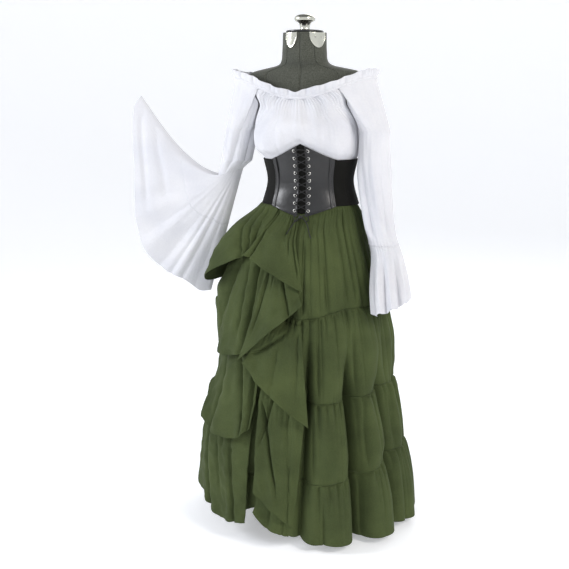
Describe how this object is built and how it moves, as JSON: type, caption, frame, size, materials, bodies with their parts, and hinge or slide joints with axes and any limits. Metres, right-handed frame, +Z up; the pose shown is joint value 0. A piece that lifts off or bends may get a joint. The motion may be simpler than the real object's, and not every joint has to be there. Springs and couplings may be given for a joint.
{
  "type": "medieval gown on a dress form",
  "caption": "Off-shoulder chemise with bell sleeves, front-laced cincher and hitched, tiered long skirt, worn by a limbless dress form on a round-based stand.",
  "frame": {"origin": "on the floor, at the middle of the stand's round base, under its pole", "axes": "+Z up the pole, -Y towards the front of the gown, +X towards the wearer's left"},
  "size_m": [0.8947, 0.6947, 1.476],
  "materials": {
    "white_rayon": "soft matt crinkled weave",
    "green_cotton": "matt plain weave",
    "black_vinyl": "glossy embossed",
    "black_elastic": "matt ribbed",
    "black_lace": "braided cord",
    "grey_jersey": "matt knit over foam",
    "black_enamel": "satin",
    "painted_iron": "satin black",
    "nickel_steel": "polished nickel",
    "chrome": "polished"
  },
  "bodies": {
    "root": {"cascade_hem": "green_cotton", "cascade_lower": "green_cotton", "cascade_middle": "green_cotton", "cascade_upper": "green_cotton", "cascade_waist": "green_cotton", "chemise_back": "white_rayon", "chemise_front": "white_rayon", "corset_band": "black_elastic", "corset_bone_left": "black_vinyl", "corset_bone_right": "black_vinyl", "corset_modesty_panel": "black_elastic", "corset_panel_left": "black_vinyl", "corset_panel_right": "black_vinyl", "flap_hip_right": "green_cotton", "flap_side_lower": "green_cotton", "flap_side_middle": "green_cotton", "flap_side_upper": "green_cotton", "flounce_left": "white_rayon", "flounce_right": "white_rayon", "form_knob": "chrome", "form_neck_cap": "black_enamel", "form_neck_dial_left": "chrome", "form_neck_dial_right": "chrome", "form_torso": "grey_jersey", "grommet_left_1": "nickel_steel", "grommet_left_2": "nickel_steel", "grommet_left_3": "nickel_steel", "grommet_left_4": "nickel_steel", "grommet_left_5": "nickel_steel", "grommet_left_6": "nickel_steel", "grommet_left_7": "nickel_steel", "grommet_left_8": "nickel_steel", "grommet_left_9": "nickel_steel", "grommet_right_1": "nickel_steel", "grommet_right_2": "nickel_steel", "grommet_right_3": "nickel_steel", "grommet_right_4": "nickel_steel", "grommet_right_5": "nickel_steel", "grommet_right_6": "nickel_steel", "grommet_right_7": "nickel_steel", "grommet_right_8": "nickel_steel", "grommet_right_9": "nickel_steel", "lace_bow": "black_lace", "lace_end_left": "black_lace", "lace_end_right": "black_lace", "lace_knot": "black_lace", "lace_lattice": "black_lace", "neck_casing": "white_rayon", "neck_ruffle": "white_rayon", "skirt_tier_1": "green_cotton", "skirt_tier_2": "green_cotton", "skirt_tier_3": "green_cotton", "skirt_tier_4": "green_cotton", "sleeve_left": "white_rayon", "sleeve_right": "white_rayon", "stand_base": "painted_iron", "stand_pole": "chrome"}
  },
  "joints": []
}
